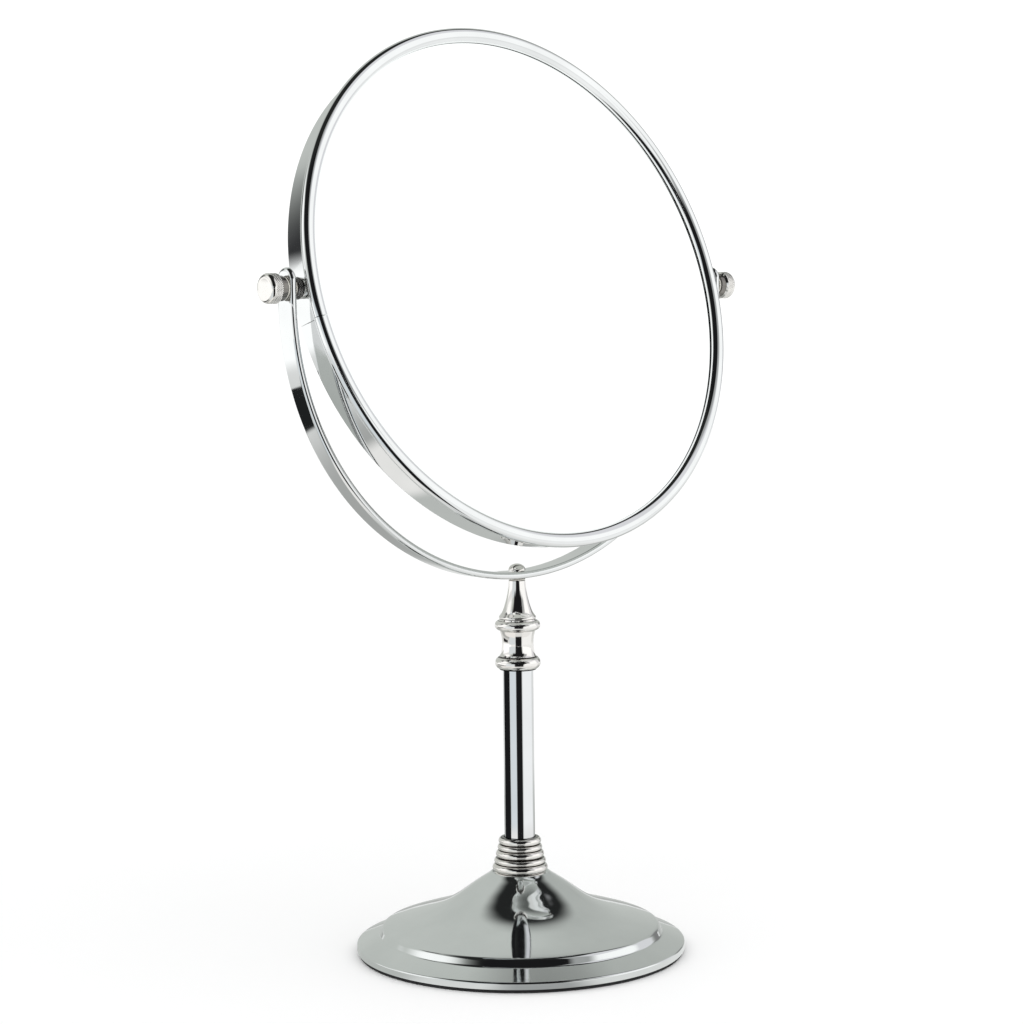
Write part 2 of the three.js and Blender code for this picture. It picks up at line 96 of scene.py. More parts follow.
def turned(name, line, steps=160, lay=upright, opening=None):
    """A piece turned from its closed outline. An opening (middle, width) leaves the ring split."""
    shape = bmesh.new()
    start = opening[0] + opening[1] / 2 if opening else 0
    full = 2 * math.pi - (opening[1] if opening else 0)
    count = steps + 1 if opening else steps
    rings = []
    for step in range(count):
        turn = start + full * step / steps
        spots = [Vector(lay(r, h, turn)) / 1000 for r, h in line]
        rings.append([shape.verts.new(spot) for spot in spots])
    for step in range(steps):
        here, there = rings[step], rings[(step + 1) % count]
        for i in range(len(line)):
            j = (i + 1) % len(line)
            shape.faces.new((here[i], here[j], there[j], there[i]))
    if opening:
        shape.faces.new(rings[0])
        shape.faces.new(rings[-1])
    bmesh.ops.remove_doubles(shape, verts=shape.verts, dist=1e-7)
    return new_piece(name, shape)


def material(name):
    """A new material, with its nodes, links and shader."""
    made = bpy.data.materials.new(name)
    made.use_nodes = True
    shader = made.node_tree.nodes["Principled BSDF"]
    return made, made.node_tree.nodes, made.node_tree.links, shader


def grain(nodes, links, scale, stretch=(1, 1, 1), detail=3, kind="ShaderNodeTexNoise"):
    """A pattern fixed in the piece, its scale in marks per metre."""
    place = nodes.new("ShaderNodeTexCoord")
    fit = nodes.new("ShaderNodeMapping")
    fit.inputs["Scale"].default_value = stretch
    links.new(place.outputs["Object"], fit.inputs["Vector"])
    pattern = nodes.new(kind)
    pattern.inputs["Scale"].default_value = scale
    if kind == "ShaderNodeTexNoise":
        pattern.inputs["Detail"].default_value = detail
    links.new(fit.outputs["Vector"], pattern.inputs["Vector"])
    return pattern


def tones(nodes, links, source, dark, light, low=0.3, high=0.7):
    """A colour that drifts from dark to light with the pattern."""
    ramp = nodes.new("ShaderNodeValToRGB")
    ramp.color_ramp.elements[0].position = low
    ramp.color_ramp.elements[0].color = (*dark, 1)
    ramp.color_ramp.elements[1].position = high
    ramp.color_ramp.elements[1].color = (*light, 1)
    links.new(source, ramp.inputs["Fac"])
    return ramp.outputs["Color"]


def spread(nodes, links, source, least, most, low=0.3, high=0.7):
    """A number that drifts from least to most with the pattern."""
    gauge = nodes.new("ShaderNodeMapRange")
    gauge.inputs["From Min"].default_value = low
    gauge.inputs["From Max"].default_value = high
    gauge.inputs["To Min"].default_value = least
    gauge.inputs["To Max"].default_value = most
    links.new(source, gauge.inputs["Value"])
    return gauge.outputs["Result"]


def relief(nodes, links, source, depth, shader, strength=1.0):
    """Fine marks in the surface, their depth in mm."""
    bump = nodes.new("ShaderNodeBump")
    bump.inputs["Distance"].default_value = depth / 1000
    bump.inputs["Strength"].default_value = strength
    links.new(source, bump.inputs["Height"])
    links.new(bump.outputs["Normal"], shader.inputs["Normal"])


def foam_rubber(name, dark, light):
    made, nodes, links, shader = material(name)
    cells = grain(nodes, links, 2600, kind="ShaderNodeTexVoronoi")
    cloud = grain(nodes, links, 60)
    shade = tones(nodes, links, cloud.outputs["Fac"], dark, light)
    links.new(shade, shader.inputs["Base Color"])
    gloss = spread(nodes, links, cells.outputs["Distance"], 0.82, 0.97, 0, 0.6)
    links.new(gloss, shader.inputs["Roughness"])
    relief(nodes, links, cells.outputs["Distance"], 0.12, shader, 0.7)
    return made


pad_radius, pad_thick, pad_round = 64.2, 1, 0.3
pad = turned("foam_foot_pad", eased([
    (0, 0), (pad_radius, 0, pad_round), (pad_radius, pad_thick, pad_round), (0, pad_thick)], 4), steps=128)
pad.data.materials.append(foam_rubber(
    "foam_rubber_pad", (0.010, 0.010, 0.011), (0.022, 0.022, 0.024)))
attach(pad, "stand")
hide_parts("foot_pad")


# Bottom plate, weight and tie rod with its nut and washers: pressed zinc steel, a black sand-cast
# iron disc, and plated fasteners. They sit out of sight inside the base and keep their frame shape.
def zinc_steel(name, dark, light):
    made, nodes, links, shader = material(name)
    shader.inputs["Metallic"].default_value = 1
    flakes = grain(nodes, links, 420, kind="ShaderNodeTexVoronoi")
    shade = tones(nodes, links, flakes.outputs["Distance"], dark, light, 0.1, 0.8)
    links.new(shade, shader.inputs["Base Color"])
    cloud = grain(nodes, links, 900)
    links.new(spread(nodes, links, cloud.outputs["Fac"], 0.28, 0.46), shader.inputs["Roughness"])
    relief(nodes, links, cloud.outputs["Fac"], 0.02, shader, 0.5)
    return made


def cast_iron(name):
    made, nodes, links, shader = material(name)
    shader.inputs["Metallic"].default_value = 0.6
    sand = grain(nodes, links, 1500, detail=6)
    shade = tones(nodes, links, sand.outputs["Fac"], (0.018, 0.018, 0.020), (0.055, 0.054, 0.052))
    links.new(shade, shader.inputs["Base Color"])
    links.new(spread(nodes, links, sand.outputs["Fac"], 0.6, 0.85), shader.inputs["Roughness"])
    relief(nodes, links, sand.outputs["Fac"], 0.25, shader, 0.8)
    return made


def finish_node(node, finish):
    """A piece that keeps its frame shape gets its finish."""
    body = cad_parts[node]
    body.data.materials.clear()
    body.data.materials.append(finish)


finish_node("bottom_plate", zinc_steel("zinc_plated_sheet", (0.36, 0.37, 0.37), (0.56, 0.57, 0.56)))
finish_node("base_weight", cast_iron("sand_cast_iron"))
fastener_steel = zinc_steel("zinc_plated_fasteners", (0.42, 0.42, 0.40), (0.62, 0.61, 0.58))
for node in ("tie_rod", "tie_rod_nut", "spring_washer", "flat_washer"):
    finish_node(node, fastener_steel)


# Base shell: spun from 1.5 mm sheet steel, polished and bright plated. A flat rim with a rolled
# edge, a small step, and a crowned plateau that sweeps up to the neck under the collar.
def flowing(points, steps=10):
    """A smooth line through the given points, in mm."""
    line = []
    last = len(points) - 1
    for i in range(last):
        a, b = points[max(i - 1, 0)], points[i]
        c, d = points[i + 1], points[min(i + 2, last)]
        for step in range(steps):
            t = step / steps
            spot = []
            for p, q, r, s in zip(a, b, c, d):
                leave, arrive = (r - p) / 2, (s - q) / 2
                spot.append((2 * q - 2 * r + leave + arrive) * t ** 3
                            + (3 * r - 3 * q - 2 * leave - arrive) * t ** 2 + leave * t + q)
            line.append(tuple(spot))
    line.append(tuple(points[-1]))
    return line


def plated(name, dull, bright, smooth, worn, marks=(1, 1, 1), mark_depth=0.0006):
    """Bright plating: its tone and gloss drift a little, under faint polishing marks."""
    made, nodes, links, shader = material(name)
    shader.inputs["Metallic"].default_value = 1
    cloud = grain(nodes, links, 45, detail=4)
    shade = tones(nodes, links, cloud.outputs["Fac"], dull, bright)
    links.new(shade, shader.inputs["Base Color"])
    wipes = grain(nodes, links, 240, detail=5)
    links.new(spread(nodes, links, wipes.outputs["Fac"], smooth, worn), shader.inputs["Roughness"])
    lines = grain(nodes, links, 900, stretch=marks, detail=2)
    relief(nodes, links, lines.outputs["Fac"], mark_depth, shader)
    return made


rim_radius = 65.0
rim_inside = 63.5
step_radius = 56.2
sheet = 1.5
neck_floor = 31.0
rod_hole = 3.3
crown = flowing([(53.2, 11.0), (48, 12.72), (42, 14.6), (36, 16.6), (31, 18.65), (26.6, 21.1),
                 (22.6, 23.9), (18.8, 26.7), (15.4, 29.0), (12.9, 30.6), (11.5, 31.7)], 6)
shell_line = [(rim_inside, 1.3)] + eased([
    (rim_inside, 1.3), (rim_radius, 1.3, 0.5), (rim_radius, 4.1, 0.9), (step_radius, 7.5, 1.5),
    (54.75, 10.45, 2.2), crown[1], (0, 0)], 8)[1:-2]
shell_line += crown[1:] + [(11.2, 31.8), (10.95, 31.6), (10.9, neck_floor)]
shell_line += [(rod_hole, neck_floor), (rod_hole, neck_floor - sheet), (9.5, 29.2)]
shell_line += [(r - 0.4, h - sheet) for r, h in reversed(crown[2:-4])]
shell_line += [(55.2, 6.4), (rim_inside, 3.3)]
base = turned("spun_base_shell", shell_line, steps=256)
base.data.materials.append(plated(
    "plated_base", (0.74, 0.76, 0.755), (0.80, 0.82, 0.815), 0.035, 0.075, (1, 1, 3)))
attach(base, "stand")
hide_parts("base_shell")


# Beaded collar: a zinc die casting with five turned beads, plated warm, with painted shade on the
# faces between the beads that look up or down. It stands on the base's neck and seats the tube.
def bead(reach, tall, low, spread_deg=78, steps=12):
    """The line over one round bead that stands out to the given radius, from its foot up."""
    half = tall / 2
    line = []
    for step in range(steps + 1):
        turn = math.radians(spread_deg) * (2 * step / steps - 1)
        line.append((reach - half + half * math.cos(turn), low + half + half * math.sin(turn)))
    return line


def paint_groove_shade(casting, steep):
    """The faces that look most nearly straight up or down, between the beads, get a painted shade."""
    casting.data.materials.append(groove_shade_finish)
    for face in casting.data.polygons:
        if abs(face.normal.z) > steep:
            face.material_index = 1


tube_radius = 6.03
tube_socket = tube_radius + 0.3
collar_low = 31.3
collar_height = 14.3
collar_top = collar_low + collar_height
socket_floor = collar_top - 5
foot_ring = 0.5
collar_beads = [(4.9, 3.2), (4.2, 2.2), (3.5, 3.0), (2.8, 2.2), (2.4, 2.9)]
share = (collar_height - foot_ring) / sum(tall for proud, tall in collar_beads)
level = collar_low + foot_ring
collar_line = [(rod_hole, collar_low), (tube_radius + 4.1, collar_low)]
for proud, tall in collar_beads:
    collar_line += bead(tube_radius + proud, tall * share, level)
    level += tall * share
collar_line += [(tube_socket, collar_top), (tube_socket, socket_floor), (rod_hole, socket_floor)]
collar = turned("beaded_stem_collar", collar_line, steps=160)
collar.data.materials.append(plated(
    "plated_casting_collar", (0.82, 0.795, 0.765), (0.90, 0.875, 0.845), 0.05, 0.10, (1, 1, 4)))
# Painted shade for the grooves: a dark plating laid where shade falls between the beads.
groove_shade_finish = plated(
    "painted_groove_shade", (0.12, 0.115, 0.108), (0.24, 0.23, 0.22), 0.18, 0.30, (1, 1, 4))
paint_groove_shade(collar, 0.86)
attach(collar, "stand")
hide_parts("beaded_collar")


# Column: plain drawn steel tube, 12 mm across, polished and plated, seated in the collar and in
# the finial.
tube_bore = tube_radius - 1
tube_low, tube_high = 40.9, 117.1
tube = turned("drawn_column_tube", eased([
    (tube_bore, tube_low), (tube_radius, tube_low, 0.25), (tube_radius, tube_high, 0.25),
    (tube_bore, tube_high)], 3), steps=160)
tube.data.materials.append(plated(
    "plated_tube", (0.78, 0.79, 0.80), (0.84, 0.85, 0.86), 0.02, 0.05, (6, 6, 0.2)))
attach(tube, "stand")
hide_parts("column_tube")


# Finial: one turned zinc casting with a lower bead, a drawn-in waist, an upper bead and a slim
# cone that carries the yoke. It is screwed down on the tie rod.
finial_low = 112.4
finial_height = 35.1
finial_top = finial_low + finial_height
screw_hole = 2.3


def finial_at(fraction):
    """The height at a fraction of the finial."""
    return finial_low + finial_height * fraction


waist_line = flowing([
    (7.3, finial_at(0.152)), (6.65, finial_at(0.19)), (6.23, finial_at(0.29)),
    (6.4, finial_at(0.37)), (7.0, finial_at(0.437))], 8)
cone_line = flowing([
    (7.15, finial_at(0.57)), (7.3, finial_at(0.595)), (5.93, finial_at(0.655)),
    (4.6, finial_at(0.77)), (3.75, finial_at(0.89)), (3.3, finial_at(1))], 8)
finial_line = [(tube_socket, finial_low), (7.2, finial_low)]
finial_line += bead(9.03, 5.1, finial_low + 0.15, 84)
finial_line += waist_line
finial_line += bead(9.03, 3.9, finial_at(0.5) - 1.95, 80)
finial_line += cone_line
finial_line += [(screw_hole, finial_top), (screw_hole, 139.5), (0, 139.5), (0, 122.7)]
finial_line += [(rod_hole, 122.7), (rod_hole, 117.4), (tube_socket, 117.4)]
finial = turned("turned_finial", finial_line, steps=160)
finial.data.materials.append(plated(
    "plated_casting_finial", (0.82, 0.80, 0.775), (0.90, 0.88, 0.855), 0.04, 0.09, (1, 1, 4)))
# The finial's faces that look nearly straight up or down get the same painted shade.
paint_groove_shade(finial, 0.88)
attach(finial, "stand")
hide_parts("finial")


# Swivel washer and yoke screw: a thin nylon washer lets the yoke turn on the finial, and a
# plain domed screw through the yoke's middle holds them together.
def moulded(name, dark, light, rough):
    """A moulded plastic with a faint, cloudy skin."""
    made, nodes, links, shader = material(name)
    cloud = grain(nodes, links, 700)
    links.new(tones(nodes, links, cloud.outputs["Fac"], dark, light), shader.inputs["Base Color"])
    links.new(spread(nodes, links, cloud.outputs["Fac"], rough - 0.08, rough + 0.08),
              shader.inputs["Roughness"])
    relief(nodes, links, cloud.outputs["Fac"], 0.01, shader, 0.5)
    return made


nylon = moulded("natural_nylon", (0.62, 0.60, 0.54), (0.74, 0.72, 0.66), 0.45)
washer = turned("nylon_swivel_washer", eased([
    (screw_hole, 147.8), (3.3, 147.8, 0.1), (3.3, 148.2, 0.1), (screw_hole, 148.2)], 3), steps=96)
washer.data.materials.append(nylon)
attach(washer, "stand")
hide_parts("swivel_washer")

screw_seat = 151.6
screw_tip = 139.8
screw_radius = 2.0
dome_radius, dome_height = 3.4, 2.6
dome = []
for step in range(13):
    turn = math.radians(90 * step / 12)
    dome.append((dome_radius * math.cos(turn), screw_seat + dome_height * math.sin(turn)))
screw = turned("domed_yoke_screw", [
    (0, screw_tip), (1.6, screw_tip), (screw_radius, screw_tip + 0.5), (screw_radius, screw_seat),
    (3.3, screw_seat)] + dome, steps=96)
screw.data.materials.append(plated(
    "plated_screw", (0.74, 0.72, 0.69), (0.82, 0.80, 0.77), 0.05, 0.10))
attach(screw, "stand")
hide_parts("yoke_screw")


# Yoke: flat steel strip, 9.3 x 2.8 mm with eased edges, bent to a half ring and polished. Its
# ends run straight up past the pivots and are rounded over; it is drilled for pivots and screw.
pivot_height = 262.4
yoke_centre = 258.4
yoke_middle = 108.5
half_width = 4.65
half_thick = 1.4
edge_round = 1.3
ear_top = 270.0
ear_hole = 2.4
middle_hole = 2.3


def yoke_place(run, out, across):
    """From a run along the strip, counted from its middle, to the bent strip."""
    quarter = yoke_middle * math.pi / 2
    side = math.copysign(1, run)
    if abs(run) <= quarter:
        turn = run / yoke_middle
        radius = yoke_middle + out
        return (radius * math.sin(turn), across, yoke_centre - radius * math.cos(turn))
    return (side * (yoke_middle + out), across, yoke_centre + abs(run) - quarter)


def yoke_strip():
    """The bent strip, with its round of edge wrapped about each cross section."""
    end = yoke_middle * math.pi / 2 + ear_top - yoke_centre - half_width
    stations = [(end * step / 180, 0) for step in range(-180, 181)]
    tips = [(math.copysign(end, side), side * math.radians(90 * step / 14))
            for side in (-1, 1) for step in range(1, 15)]
    stations = sorted(stations + tips, key=lambda station: (station[0], station[1]))
    wrap = []
    for step in range(9):
        turn = math.radians(90 - 180 * step / 8)
        side_out = half_thick - edge_round if turn >= 0 else edge_round - half_thick
        if step == 4:
            wrap.append((half_thick - edge_round, 0))
            side_out = edge_round - half_thick
        wrap.append((side_out + edge_round * math.sin(turn), edge_round * (1 - math.cos(turn))))
    shape = bmesh.new()
    rings = []
    for run, tip in stations:
        ring = []
        for side in (1, -1):
            for out, inset in (wrap if side > 0 else reversed(wrap)):
                reach = half_width - inset
                spot = yoke_place(run + reach * math.sin(tip), out, side * reach * math.cos(tip))
                ring.append(shape.verts.new(Vector(spot) / 1000))
        rings.append(ring)
    for here, there in zip(rings, rings[1:]):
        for i in range(len(here)):
            j = (i + 1) % len(here)
            shape.faces.new((here[i], here[j], there[j], there[i]))
    bmesh.ops.remove_doubles(shape, verts=shape.verts, dist=1e-6)
    loose = [face for face in shape.faces if face.calc_area() < 1e-14]
    bmesh.ops.delete(shape, geom=loose, context="FACES_ONLY")
    return new_piece("bent_yoke_strap", shape)


def bored(piece, *drills):
    """Cuts round holes: each drill is (radius, centre, axis, half length), in mm."""
    flats = piece.modifiers["true flats"]
    for radius, centre, axis, reach in drills:
        cutter = bmesh.new()
        aim = Vector(axis).to_track_quat("Z", "Y").to_matrix().to_4x4()
        spot = Matrix.Translation(Vector(centre) / 1000) @ aim
        bmesh.ops.create_cone(cutter, cap_ends=True, segments=48, radius1=radius / 1000,
                              radius2=radius / 1000, depth=2 * reach / 1000, matrix=spot)
        drill = placed("drill", cutter)
        hole = piece.modifiers.new("hole", "BOOLEAN")
        hole.operation = "DIFFERENCE"
        hole.object = drill
        flats.show_viewport = False
        bpy.context.view_layer.update()
        graph = bpy.context.evaluated_depsgraph_get()
        cut = bpy.data.meshes.new_from_object(piece.evaluated_get(graph))
        piece.modifiers.remove(hole)
        flats.show_viewport = True
        piece.data = cut
        bpy.data.objects.remove(drill)


yoke = yoke_strip()
across_both, through_strip = 120, 6
bored(yoke, (ear_hole, (0, 0, pivot_height), (1, 0, 0), across_both),
      (middle_hole, (0, 0, 150), (0, 0, 1), through_strip))
yoke.data.materials.append(plated(
    "plated_strap", (0.76, 0.77, 0.77), (0.83, 0.84, 0.84), 0.025, 0.06, (1, 5, 1)))
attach(yoke, "yoke")
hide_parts("yoke_strap")


# Rim: one steel strip rolled to a flat band with a round bead in front and a lip at each side to
# hold a glass. Its ends butt just below the left pivot, over a splice plate inside.
head_tilt = math.radians(16.4)
head_drop = 1.0
band_radius = 101.4
bead_radius = 2.3
bead_centre = 102.0
bead_plane = 6.62
band_rear = -6.9
band_inside = 100.4
lip_radius = 98.5
lip_thick = 1.0
pivot_hole = 2.3
seam_drop = 11.7
seam_gap = 0.25


def tip_back(spot):
    """A spot of the upright head, leaned back about the pivots' line."""
    return Matrix.Rotation(-head_tilt, 3, "X") @ Vector(spot) + Vector((0, 0, pivot_height))


def facing_front(radius, forward, turn):
    """Lays a turned piece of the head, with its axis to the front."""
    return tip_back((radius * math.cos(turn), -forward, radius * math.sin(turn) - head_drop))


meet = math.degrees(math.acos((band_radius - bead_centre) / bead_radius))
over = []
for step in range(29):
    turn = math.radians(-meet + (meet + 172) * step / 28)
    inward = bead_radius if turn < math.pi / 2 else bead_centre - lip_radius
    over.append((bead_centre + inward * math.cos(turn), bead_plane + bead_radius * math.sin(turn)))
rim_line = eased([
    (band_inside, band_rear + lip_thick), (lip_radius, band_rear + lip_thick, 0.3),
    (lip_radius, band_rear, 0.3), (band_radius, band_rear, 0.6), (band_radius, 0)], 5)
rim_line += over + [(lip_radius, bead_plane), (band_inside, bead_plane)]
seam_turn = math.pi + math.asin(seam_drop / band_radius)
rim = turned("rolled_rim", rim_line, steps=512, lay=facing_front,
             opening=(seam_turn, seam_gap / band_radius))
bored(rim, (pivot_hole, (0, 0, pivot_height), (1, 0, 0), across_both))
rim.data.materials.append(plated(
    "plated_rim", (0.76, 0.77, 0.77), (0.83, 0.84, 0.84), 0.02, 0.055, (1, 3, 1)))
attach(rim, "head")
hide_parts("rim_strip")


# Glasses: a plane silvered float glass in front and a slumped, magnifying one behind, both with
# ground edges, held under the lips.
def silvered(name, deep, clear):
    """Silvered glass: a clean mirror with the faintest film on it."""
    made, nodes, links, shader = material(name)
    shader.inputs["Metallic"].default_value = 1
    cloud = grain(nodes, links, 12)
    links.new(tones(nodes, links, cloud.outputs["Fac"], deep, clear), shader.inputs["Base Color"])
    film = grain(nodes, links, 90, detail=5)
    links.new(spread(nodes, links, film.outputs["Fac"], 0.0, 0.012, 0.45, 0.8),
              shader.inputs["Roughness"])
    return made


glass_radius = 100.1
plane_back, plane_front, ground_edge = 3.32, 6.32, 0.5
glass = turned("plane_mirror_glass", eased([
    (0, plane_back), (glass_radius, plane_back, ground_edge),
    (glass_radius, plane_front, ground_edge), (0, plane_front)], 4), steps=256, lay=facing_front)
glass.data.materials.append(silvered(
    "silvered_plane_glass", (0.935, 0.955, 0.948), (0.955, 0.968, 0.962)))
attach(glass, "head")
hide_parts("front_glass")

rear_edge = -5.6
rear_sag = 5.0
rear_thick = 2
dish_back = [(glass_radius * step / 40, rear_edge + rear_sag * (1 - (step / 40) ** 2))
             for step in range(41)]
dish_front = [(r, d + rear_thick) for r, d in reversed(dish_back)]
dish = turned("magnifying_mirror_glass", dish_back + dish_front, steps=256, lay=facing_front)
dish.data.materials.append(silvered(
    "silvered_dished_glass", (0.925, 0.945, 0.94), (0.95, 0.962, 0.957)))
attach(dish, "head")
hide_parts("rear_glass")


# Inside the head: a thin foam disc behind the plane glass, a black moulded spacer between the
# glasses, and two bent steel plates under the studs' heads.
disc_radius, disc_back, disc_front = 93.3, 2.02, 3.02
backing = turned("foam_backing_disc", eased([
    (0, disc_back), (disc_radius, disc_back, 0.3), (disc_radius, disc_front, 0.3),
    (0, disc_front)], 3), steps=128, lay=facing_front)
backing.data.materials.append(foam_rubber(
    "foam_backing", (0.010, 0.010, 0.012), (0.024, 0.024, 0.026)))
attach(backing, "head")
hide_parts("backing_pad")
finish_node("spacer_ring", moulded(
    "black_moulded_plastic", (0.012, 0.012, 0.013), (0.03, 0.03, 0.032), 0.5))
clamp_steel = zinc_steel("zinc_plated_clamps", (0.40, 0.41, 0.40), (0.58, 0.58, 0.56))
finish_node("splice_plate", clamp_steel)
finish_node("clamp_plate", clamp_steel)


# Pivots: a steel stud at each side, headed inside the band, carries a smooth bush, a knurled
# lock nut and a nylon washer against the yoke's ear.
def beside(side):
    """Lays a turned piece on the pivots' line, at the left (-1) or right (1)."""
    def lay(radius, out, turn):
        return (side * out, radius * math.cos(turn), radius * math.sin(turn) + pivot_height)
    return lay


def leaned(side):
    """The same, turned with the head, so that flats and marks lean back with it."""
    def lay(radius, out, turn):
        return tip_back((side * out, radius * math.cos(turn), radius * math.sin(turn)))
    return lay


def knurl(radius, low, high, count, depth, rows):
    """The band's line, and how deep a diamond knurl cuts it at each turn and place along it."""
    pitch = 2 * math.pi * radius / count

    def cut(turn, out):
        slant_a = turn * count / (2 * math.pi) + out / pitch
        slant_b = turn * count / (2 * math.pi) - out / pitch
        ridge_a = 1 - abs(2 * (slant_a % 1) - 1)
        ridge_b = 1 - abs(2 * (slant_b % 1) - 1)
        return -depth * (1 - min(1, 1.5 * min(ridge_a, ridge_b)))

    line = [(radius, low + (high - low) * row / rows) for row in range(rows + 1)]
    return line, cut


def knurled(name, before, band, after, lay, steps):
    """A turned piece with one knurled band, which runs out at both ends."""
    line, cut = band
    first, last = line[0][1], line[-1][1]

    def lay_cut(radius, out, turn):
        if first - 1e-6 < out < last + 1e-6 and abs(radius - line[0][0]) < 1e-6:
            ends = min(1, (out - first) / run_out, (last - out) / run_out)
            radius += cut(turn, out) * max(ends, 0)
        return lay(radius, out, turn)
    return turned(name, before + line + after, steps=steps, lay=lay_cut)


run_out = 0.2
stud_radius, stud_head, stud_inner, stud_outer = 2.0, 2.6, 97.1, 116.2
stud_steel = zinc_steel("zinc_plated_studs", (0.40, 0.40, 0.39), (0.60, 0.59, 0.57))
bush_finish = plated("plated_bush", (0.70, 0.69, 0.67), (0.80, 0.79, 0.77), 0.04, 0.09)
nut_finish = plated(
    "dark_nickel_nut", (0.20, 0.195, 0.19), (0.34, 0.33, 0.32), 0.10, 0.24, (1, 1, 1), 0.004)
for side, word in ((-1, "left"), (1, "right")):
    lay = leaned(side)
    stud = turned(f"headed_stud_{word}", eased([
        (0, stud_inner), (stud_head, stud_inner, 0.3), (stud_head, 98.6), (stud_radius, 98.6),
        (stud_radius, stud_outer, 0.3), (0, stud_outer)], 3), steps=64, lay=lay)
    stud.data.materials.append(stud_steel)
    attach(stud, "head")
    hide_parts(f"pivot_stud_{word}")

    bush = turned(f"smooth_bush_{word}", eased([
        (pivot_hole, 101.7), (3.9, 101.7, 0.25), (3.9, 103.4, 0.25), (pivot_hole, 103.4)], 4),
        steps=96, lay=lay)
    bush.data.materials.append(bush_finish)
    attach(bush, "head")
    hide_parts(f"pivot_bush_{word}")

    nut = knurled(f"knurled_lock_nut_{word}", [(pivot_hole, 103.7), (3.85, 103.7)],
                  knurl(4.1, 103.95, 105.75, 30, 0.22, 20),
                  [(3.85, 106.0), (pivot_hole, 106.0)], lay, 240)
    nut.data.materials.append(nut_finish)
    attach(nut, "head")
    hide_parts(f"lock_nut_{word}")

    inner = turned(f"inner_nylon_washer_{word}", eased([
        (pivot_hole, 106.3), (3.6, 106.3, 0.12), (3.6, 106.8, 0.12), (pivot_hole, 106.8)], 3),
        steps=72, lay=lay)
    inner.data.materials.append(nylon)
    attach(inner, "head")
    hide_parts(f"inner_washer_{word}")


# Knobs: turned brass, plated warm, with a smooth neck in painted shade, a finely knurled grip and a
# crowned end face. They screw on the studs and clamp each ear through a nylon washer.
knob_finish = plated(
    "plated_knob", (0.80, 0.78, 0.75), (0.88, 0.86, 0.83), 0.06, 0.12, (1, 1, 1), 0.001)
# Painted shade for the narrow neck between grip and washer: a dark plating.
neck_shade_finish = plated("painted_shade_knob_neck", (0.16, 0.152, 0.142), (0.30, 0.285, 0.265), 0.12, 0.22)
grip_low, grip_high, grip_radius = 113.9, 116.95, 5.55
shoulder_round, face_radius, face_out, face_crown = 1.6, 3.9, 118.8, 0.25
neck_ends = 0.1134
for side, word in ((-1, "left"), (1, "right")):
    lay = beside(side)
    outer = turned(f"outer_nylon_washer_{word}", eased([
        (pivot_hole, 110.2), (4.3, 110.2, 0.12), (4.3, 110.7, 0.12), (pivot_hole, 110.7)], 3),
        steps=72, lay=lay)
    outer.data.materials.append(nylon)
    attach(outer, f"{word}_washer")
    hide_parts(f"outer_washer_{word}")

    shoulder = [(grip_radius - shoulder_round * (1 - math.cos(math.radians(turn))),
                 grip_high + shoulder_round * math.sin(math.radians(turn)))
                for turn in range(10, 91, 10)]
    face_line = [(face_radius * (1 - step / 8), face_out - face_crown * (1 - step / 8) ** 2)
                 for step in range(9)]
    knob = knurled(f"knurled_knob_{word}", eased([
        (pivot_hole, 111.0), (4.65, 111.0, 0.25), (4.65, 113.3, 0.3), (5.4, 113.65)], 4)[:-1],
        knurl(grip_radius, grip_low, grip_high, 44, 0.15, 36),
        shoulder + face_line + [(0, 116.5), (pivot_hole, 116.5)], lay, 352)
    knob.data.materials.append(knob_finish)
    knob.data.materials.append(neck_shade_finish)
    # The neck's faces get the painted shade.
    for face in knob.data.polygons:
        if abs(face.center.x) < neck_ends:
            face.material_index = 1
    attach(knob, f"{word}_knob")
    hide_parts(f"knob_{word}")


# Studio: a plain pale table in even white light. The polished metal also sees a wide tent of soft
# cloth round the set, a painted reflection of the table and three small cards. None of them is in plain
# view.
def flat_disc(name, radius, height):
    """A round table top, or the disc under it that carries the table's painted reflection."""
    shape = bmesh.new()
    bmesh.ops.create_circle(shape, cap_ends=True, segments=96, radius=radius)
    bmesh.ops.translate(shape, verts=shape.verts, vec=(0, 0, height))
    made = placed(name, shape)
    return made


def seen_by_metal_only(screen):
    """Only reflections show this screen, and it gives no light or shadow."""
    screen.visible_camera = False
    screen.visible_diffuse = False
    screen.visible_shadow = False


table = flat_disc("table", 4, 0)
made, nodes, links, shader = material("pale_table")
shader.inputs["Roughness"].default_value = 0.9
cloud = grain(nodes, links, 3)
links.new(tones(nodes, links, cloud.outputs["Fac"], (0.925, 0.925, 0.925), (0.935, 0.935, 0.935)),
          shader.inputs["Base Color"])
table.data.materials.append(made)
table.visible_glossy = False


